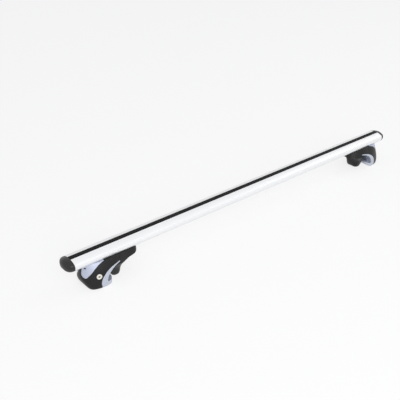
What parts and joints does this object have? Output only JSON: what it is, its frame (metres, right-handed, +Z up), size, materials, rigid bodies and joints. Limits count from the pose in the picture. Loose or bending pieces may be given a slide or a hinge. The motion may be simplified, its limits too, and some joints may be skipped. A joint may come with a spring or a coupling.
{
  "type": "roof rack crossbar",
  "caption": "Aluminium roof crossbar with a rubber strip along its top, domed end caps and two lockable clamp feet with sliding jaws.",
  "frame": {"origin": "on the ground, under the middle of the bar", "axes": "+X along the bar towards its right end, +Y across the bar away from the viewer, +Z up"},
  "size_m": [1.244, 0.088, 0.097],
  "materials": {
    "bar_aluminium": "satin silver anodised extrusion",
    "strip_rubber": "matt black rubber strip",
    "cap_plastic": "moulded black plastic",
    "black_plastic": "fine-grained black plastic",
    "silver_casting": "silver-blue painted casting",
    "silver_trim": "silver-blue painted plastic",
    "pin_plastic": "black plastic",
    "pad_rubber": "grey rubber",
    "guide_plastic": "black nylon",
    "lock_ring": "cream-white ring",
    "lock_metal": "nickel-plated barrel",
    "zinc_steel": "zinc-plated steel"
  },
  "bodies": {
    "bar": {"bar_profile": "bar_aluminium", "top_strip": "strip_rubber", "end_cap_left": "cap_plastic", "end_cap_right": "cap_plastic"},
    "foot_left": {"foot_body_left": "silver_casting", "bar_seat_left": "pad_rubber", "slot_plate_left": "zinc_steel", "foot_screws_left": "zinc_steel", "hook_pad_left": "pad_rubber", "bolt_washer_left": "zinc_steel"},
    "cover_left": {"cover_left": "black_plastic", "side_trims_left": "silver_trim", "trim_pins_left": "pin_plastic", "lock_ring_left": "lock_ring"},
    "lock_left": {"lock_barrel_left": "lock_metal", "lock_cam_left": "zinc_steel"},
    "jaw_left": {"inner_jaw_left": "black_plastic", "jaw_pad_left": "pad_rubber", "jaw_nut_left": "zinc_steel", "jaw_guide_left": "guide_plastic", "guide_screw_left": "zinc_steel"},
    "bolt_left": {"draw_bolt_left": "zinc_steel"},
    "foot_right": {"foot_body_right": "silver_casting", "bar_seat_right": "pad_rubber", "slot_plate_right": "zinc_steel", "foot_screws_right": "zinc_steel", "hook_pad_right": "pad_rubber", "bolt_washer_right": "zinc_steel"},
    "cover_right": {"cover_right": "black_plastic", "side_trims_right": "silver_trim", "trim_pins_right": "pin_plastic", "lock_ring_right": "lock_ring"},
    "lock_right": {"lock_barrel_right": "lock_metal", "lock_cam_right": "zinc_steel"},
    "jaw_right": {"inner_jaw_right": "black_plastic", "jaw_pad_right": "pad_rubber", "jaw_nut_right": "zinc_steel", "jaw_guide_right": "guide_plastic", "guide_screw_right": "zinc_steel"},
    "bolt_right": {"draw_bolt_right": "zinc_steel"}
  },
  "joints": [
    {"name": "foot_slide_left", "type": "slide", "parent": "bar", "child": "foot_left", "axis": [1, 0, 0], "range_m": [-0.002, 0.2]},
    {"name": "jaw_slide_left", "type": "slide", "parent": "foot_left", "child": "jaw_left", "axis": [1, 0, 0], "range_m": [0, 0.024]},
    {"name": "bolt_spin_left", "type": "hinge", "parent": "foot_left", "child": "bolt_left", "pos_m": [-0.516, 0, 0.0545], "axis": [1, 0, 0], "range_deg": [-6920, 5]},
    {"name": "cover_slide_left", "type": "slide", "parent": "foot_left", "child": "cover_left", "axis": [-1, 0, 0], "range_m": [0, 0.11]},
    {"name": "lock_turn_left", "type": "hinge", "parent": "cover_left", "child": "lock_left", "pos_m": [-0.543, -0.03989, 0.036], "axis": [-0.2588, -0.9659, 0], "range_deg": [0, 90]},
    {"name": "foot_slide_right", "type": "slide", "parent": "bar", "child": "foot_right", "axis": [-1, 0, 0], "range_m": [-0.002, 0.2]},
    {"name": "jaw_slide_right", "type": "slide", "parent": "foot_right", "child": "jaw_right", "axis": [-1, 0, 0], "range_m": [0, 0.024]},
    {"name": "bolt_spin_right", "type": "hinge", "parent": "foot_right", "child": "bolt_right", "pos_m": [0.53, 0, 0.0545], "axis": [-1, 0, 0], "range_deg": [-6920, 5]},
    {"name": "cover_slide_right", "type": "slide", "parent": "foot_right", "child": "cover_right", "axis": [1, 0, 0], "range_m": [0, 0.11]},
    {"name": "lock_turn_right", "type": "hinge", "parent": "cover_right", "child": "lock_right", "pos_m": [0.557, 0.03989, 0.036], "axis": [0.2588, 0.9659, 0], "range_deg": [0, 90]}
  ],
  "couplings": [
    {"joint": "bolt_spin_left", "follows": "jaw_slide_left", "rad_per_m": -5026.5},
    {"joint": "bolt_spin_right", "follows": "jaw_slide_right", "rad_per_m": -5026.5}
  ]
}
